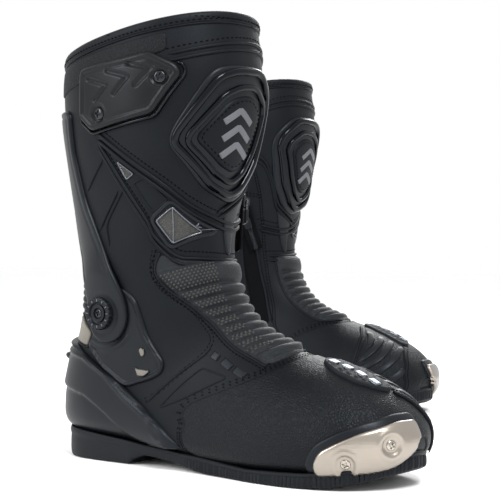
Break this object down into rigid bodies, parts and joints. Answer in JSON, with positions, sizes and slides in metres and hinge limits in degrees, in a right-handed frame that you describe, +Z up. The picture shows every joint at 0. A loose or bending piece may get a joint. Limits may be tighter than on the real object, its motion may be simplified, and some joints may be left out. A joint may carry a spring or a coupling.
{
  "type": "motorcycle riding boots",
  "caption": "Pair of tall motorcycle riding boots with hinged ankle braces, shin and heel guards, toe sliders, medial zips and closing flaps.",
  "frame": {"origin": "on the floor under the ankle of the right boot, on its heel tread", "axes": "+X to the toes, -Y to the outer side of the right boot, +Z up"},
  "size_m": [0.5162, 0.5074, 0.3281],
  "materials": {
    "sole_rubber": "matt, lightly grained",
    "board_plastic": "matt",
    "lining_fabric": "knitted mesh",
    "upper_leather": "smooth matt, fine grain on the vamp",
    "moulded_plastic": "satin, moulded",
    "slider_steel": "brushed and rolled",
    "screw_steel": "polished",
    "gloss_trim": "high gloss",
    "reflective_trim": "fine retroreflective film",
    "black_metal": "black oxide",
    "grip_fabric": "woven, with printed rubber dots",
    "silver_trim": "satin silver",
    "zip_tape": "woven tape with moulded teeth"
  },
  "bodies": {
    "right_foot": {"right_outsole": "sole_rubber", "right_insole_board": "board_plastic", "right_footbed": "lining_fabric", "right_foot_upper": "upper_leather", "right_stiffeners": "board_plastic", "right_heel_cup": "moulded_plastic", "right_toe_slider_base": "sole_rubber", "right_toe_slider": "slider_steel", "right_toe_slider_screws": "screw_steel", "right_shift_pad": "sole_rubber", "right_shift_panel": "gloss_trim", "right_ankle_plate": "moulded_plastic", "right_reflectors": "reflective_trim", "right_pivot_dial": "gloss_trim", "right_pivot_screw": "black_metal", "right_front_bellows": "grip_fabric", "right_rear_bellows": "grip_fabric"},
    "right_shaft": {"right_shaft_shell": "upper_leather", "right_shaft_lining": "lining_fabric", "right_collar": "upper_leather", "right_shin_plate": "moulded_plastic", "right_shin_rails": "gloss_trim", "right_calf_plate": "moulded_plastic", "right_calf_plate_screws": "black_metal", "right_brace_arm": "moulded_plastic", "right_side_vents": "silver_trim", "right_zip": "zip_tape"},
    "right_zip_slider": {"right_zip_slider": "black_metal"},
    "right_zip_puller": {"right_zip_puller": "black_metal"},
    "right_top_flap": {"right_top_flap": "upper_leather"},
    "left_foot": {"left_outsole": "sole_rubber", "left_insole_board": "board_plastic", "left_footbed": "lining_fabric", "left_foot_upper": "upper_leather", "left_stiffeners": "board_plastic", "left_heel_cup": "moulded_plastic", "left_toe_slider_base": "sole_rubber", "left_toe_slider": "slider_steel", "left_toe_slider_screws": "screw_steel", "left_shift_pad": "sole_rubber", "left_shift_panel": "gloss_trim", "left_ankle_plate": "moulded_plastic", "left_reflectors": "reflective_trim", "left_pivot_dial": "gloss_trim", "left_pivot_screw": "black_metal", "left_front_bellows": "grip_fabric", "left_rear_bellows": "grip_fabric"},
    "left_shaft": {"left_shaft_shell": "upper_leather", "left_shaft_lining": "lining_fabric", "left_collar": "upper_leather", "left_shin_plate": "moulded_plastic", "left_shin_rails": "gloss_trim", "left_calf_plate": "moulded_plastic", "left_calf_plate_screws": "black_metal", "left_brace_arm": "moulded_plastic", "left_side_vents": "silver_trim", "left_zip": "zip_tape"},
    "left_zip_slider": {"left_zip_slider": "black_metal"},
    "left_zip_puller": {"left_zip_puller": "black_metal"},
    "left_top_flap": {"left_top_flap": "upper_leather"}
  },
  "joints": [
    {"name": "right_ankle_flex", "type": "hinge", "parent": "right_foot", "child": "right_shaft", "pos_m": [-0.005, 0, 0.111], "axis": [0, 1, 0], "range_deg": [-12, 18], "stiffness_Nm_per_rad": 20, "deforming": ["right_front_bellows", "right_rear_bellows"]},
    {"name": "right_zip_run", "type": "slide", "parent": "right_shaft", "child": "right_zip_slider", "axis": [0.1663, -0.291, -0.9422], "range_m": [0, 0.03]},
    {"name": "right_zip_pull_swing", "type": "hinge", "parent": "right_zip_slider", "child": "right_zip_puller", "pos_m": [0.05466, 0.05193, 0.19477], "axis": [0.8555, -0.4326, 0.2846], "range_deg": [0, 110]},
    {"name": "right_flap_open", "type": "hinge", "parent": "right_shaft", "child": "right_top_flap", "pos_m": [0.06, 0.0526, 0.258], "axis": [-0.0312, -0.067, -0.9973], "range_deg": [0, 100]},
    {"name": "left_ankle_flex", "type": "hinge", "parent": "left_foot", "child": "left_shaft", "pos_m": [-0.208, 0.378, 0.111], "axis": [0, 1, 0], "range_deg": [-12, 18], "stiffness_Nm_per_rad": 20, "deforming": ["left_front_bellows", "left_rear_bellows"]},
    {"name": "left_zip_run", "type": "slide", "parent": "left_shaft", "child": "left_zip_slider", "axis": [0.1663, 0.291, -0.9422], "range_m": [0, 0.03]},
    {"name": "left_zip_pull_swing", "type": "hinge", "parent": "left_zip_slider", "child": "left_zip_puller", "pos_m": [-0.14834, 0.32607, 0.19477], "axis": [-0.8555, -0.4326, -0.2846], "range_deg": [0, 110]},
    {"name": "left_flap_open", "type": "hinge", "parent": "left_shaft", "child": "left_top_flap", "pos_m": [-0.143, 0.3254, 0.258], "axis": [0.0312, -0.067, 0.9973], "range_deg": [0, 100]},
    {"name": "left_boot_place", "type": "slide", "parent": "right_foot", "child": "left_foot", "axis": [0, -1, 0], "range_m": [0, 0.2]}
  ]
}
